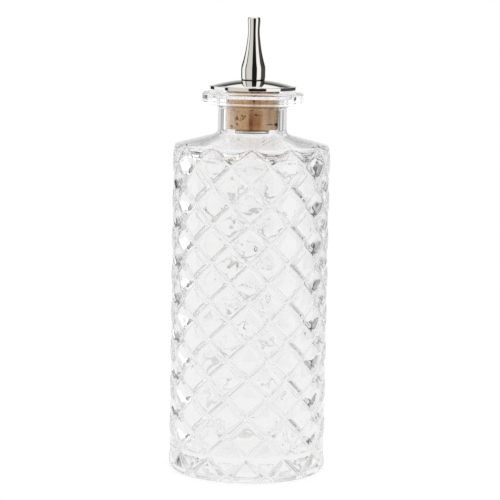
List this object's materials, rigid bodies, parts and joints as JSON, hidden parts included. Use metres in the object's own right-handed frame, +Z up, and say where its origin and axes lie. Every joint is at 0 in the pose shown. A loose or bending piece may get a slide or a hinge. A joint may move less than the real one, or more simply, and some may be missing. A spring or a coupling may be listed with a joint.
{
  "type": "bitters bottle",
  "caption": "Clear pressed-glass bitters bottle with raised diamond pads, a flared lip, and a lift-out cork stopper carrying a domed steel cap and a tapered dasher spout.",
  "frame": {"origin": "middle of the base, in the plane that the bottle stands on", "axes": "+Z up along the bottle's axis; -Y is the front, where a column of pads faces; +X to the right"},
  "size_m": [0.06, 0.06, 0.1733],
  "materials": {
    "clear_glass": "clear colourless pressed glass, fire-polished",
    "cork": "natural cork with dark pits",
    "polished_steel": "mirror-polished stainless steel",
    "plain_steel": "turned stainless steel"
  },
  "bodies": {
    "bottle": {"bottle_glass": "clear_glass"},
    "stopper": {"cork_stopper": "cork", "dome_cap": "polished_steel", "clamp_nut": "plain_steel", "threaded_tube": "plain_steel"},
    "spout_head": {"spout": "polished_steel"}
  },
  "joints": [
    {"name": "stopper_pull", "type": "slide", "parent": "bottle", "child": "stopper", "axis": [0, 0, 1], "range_m": [0, 0.024]},
    {"name": "spout_unscrew", "type": "hinge", "parent": "stopper", "child": "spout_head", "pos_m": [0, 0, 0.1492], "axis": [0, 0, 1], "range_deg": [0, 3600]}
  ]
}
